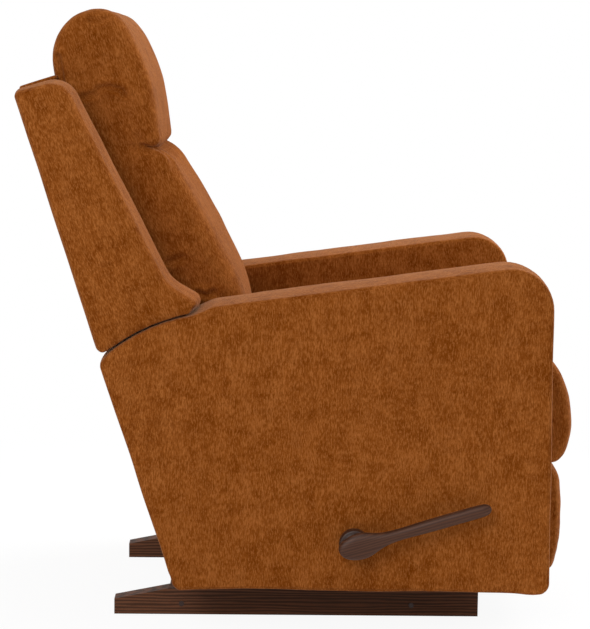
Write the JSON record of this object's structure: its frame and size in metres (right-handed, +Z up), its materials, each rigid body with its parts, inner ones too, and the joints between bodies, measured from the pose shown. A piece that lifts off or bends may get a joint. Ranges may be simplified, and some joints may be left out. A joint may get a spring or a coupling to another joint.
{
  "type": "rocker recliner",
  "caption": "Upholstered rocker recliner: padded arms, reclining pillow back, side lever footrest and curved wooden rockers on base rails.",
  "frame": {"origin": "centre of the footprint at floor level, under the middle of the base rails", "axes": "+Z up, -Y the way the sitter faces, +X to the sitter's left; the handle is on -X"},
  "size_m": [0.835, 0.9628, 1.053],
  "materials": {
    "dark_wood": "dark walnut stain, satin",
    "frame_wood": "plain sawn hardwood and plywood",
    "upholstery": "burnt orange chenille",
    "webbing": "woven elastic webbing",
    "bush_plastic": "natural nylon",
    "dark_plastic": "dark brown moulded",
    "zinc_steel": "zinc plated",
    "black_steel": "black enamel"
  },
  "bodies": {
    "base": {"base_rail_left": "dark_wood", "base_rail_right": "dark_wood", "base_cross_rails": "dark_wood", "base_screws": "zinc_steel", "rolling_tracks": "bush_plastic", "spring_seats_lower": "black_steel"},
    "chair_frame": {"rocker_cam_left": "frame_wood", "rocker_cam_right": "frame_wood", "spring_seats_upper": "black_steel", "rocker_springs": "zinc_steel", "side_plate_left": "black_steel", "side_plate_right": "black_steel", "side_plate_rivets": "zinc_steel", "tie_bars": "zinc_steel", "arm_left": "upholstery", "arm_right": "upholstery", "arm_frame_left": "frame_wood", "arm_frame_right": "frame_wood", "arm_bolts": "zinc_steel", "rear_stretcher": "frame_wood", "rear_panel": "upholstery"},
    "seat": {"seat_side_rails": "frame_wood", "seat_cross_rails": "frame_wood", "seat_webbing": "webbing", "seat_hanger_left": "black_steel", "seat_hanger_right": "black_steel", "seat_slide_pins": "zinc_steel", "seat_cushion": "upholstery"},
    "back": {"back_uprights": "frame_wood", "back_cross_rails": "frame_wood", "back_bracket_left": "black_steel", "back_bracket_right": "black_steel", "back_panel": "upholstery", "wing_left": "upholstery", "wing_right": "upholstery", "lumbar_cushion": "upholstery", "head_cushion": "upholstery"},
    "swing_link": {"swing_link_left": "black_steel", "swing_link_right": "black_steel"},
    "parallel_link": {"parallel_link_left": "black_steel", "parallel_link_right": "black_steel"},
    "carrier_link": {"carrier_link_left": "black_steel", "carrier_link_right": "black_steel"},
    "flip_link": {"flip_link_left": "black_steel", "flip_link_right": "black_steel"},
    "drive_link": {"drive_link_left": "black_steel", "drive_link_right": "black_steel"},
    "footrest": {"footrest_bracket_left": "black_steel", "footrest_bracket_right": "black_steel", "footrest_board": "frame_wood", "footrest_pad": "upholstery"},
    "handle": {"drive_rod": "black_steel", "rod_bushes": "bush_plastic", "drive_crank_left": "black_steel", "drive_crank_right": "black_steel", "handle_lever": "dark_wood", "handle_hub": "dark_plastic"}
  },
  "joints": [
    {"name": "rock", "type": "hinge", "parent": "base", "child": "chair_frame", "pos_m": [0, 0, 0.5493], "axis": [1, 0, 0], "range_deg": [-9, 6], "stiffness_Nm_per_rad": 150, "springref_deg": 5.41, "deforming": ["rocker_springs"]},
    {"name": "recline", "type": "hinge", "parent": "chair_frame", "child": "back", "pos_m": [0, 0.107, 0.204], "axis": [-1, 0, 0], "range_deg": [0, 30], "stiffness_Nm_per_rad": 260, "springref_deg": -11.63},
    {"name": "seat_slide", "type": "slide", "parent": "chair_frame", "child": "seat", "axis": [0, -0.9848, 0.1736], "range_m": [0, 0.06]},
    {"name": "footrest_swing", "type": "hinge", "parent": "chair_frame", "child": "swing_link", "pos_m": [0, -0.315, 0.258], "axis": [-1, 0, 0], "range_deg": [0, 140.8]},
    {"name": "parallel_swing", "type": "hinge", "parent": "chair_frame", "child": "parallel_link", "pos_m": [0, -0.25452, 0.24437], "axis": [-1, 0, 0], "range_deg": [0, 140.8]},
    {"name": "carrier_turn", "type": "hinge", "parent": "swing_link", "child": "carrier_link", "pos_m": [0, -0.18398, 0.17517], "axis": [-1, 0, 0], "range_deg": [-140.8, 0]},
    {"name": "flip_turn", "type": "hinge", "parent": "swing_link", "child": "flip_link", "pos_m": [0, -0.1544, 0.15647], "axis": [-1, 0, 0], "range_deg": [-128.82, 0]},
    {"name": "footrest_flip", "type": "hinge", "parent": "carrier_link", "child": "footrest", "pos_m": [0, -0.363, 0.226], "axis": [-1, 0, 0], "range_deg": [0, 90]},
    {"name": "handle_turn", "type": "hinge", "parent": "chair_frame", "child": "handle", "pos_m": [0, -0.088, 0.168], "axis": [-1, 0, 0], "range_deg": [0, 95]},
    {"name": "drive_turn", "type": "hinge", "parent": "handle", "child": "drive_link", "pos_m": [0, -0.03873, 0.13376], "axis": [-1, 0, 0], "range_deg": [-88.09, 0]}
  ],
  "couplings": [
    {"joint": "seat_slide", "follows": "recline", "m_per_rad": 0.11459},
    {"joint": "parallel_swing", "follows": "footrest_swing", "ratio": 1},
    {"joint": "carrier_turn", "follows": "footrest_swing", "ratio": -1},
    {"joint": "flip_turn", "follows": "footrest_swing", "ratio": -0.91494},
    {"joint": "footrest_flip", "follows": "footrest_swing", "ratio": 0.6392},
    {"joint": "handle_turn", "follows": "footrest_swing", "ratio": 0.67472},
    {"joint": "drive_turn", "follows": "footrest_swing", "ratio": -0.62563}
  ]
}
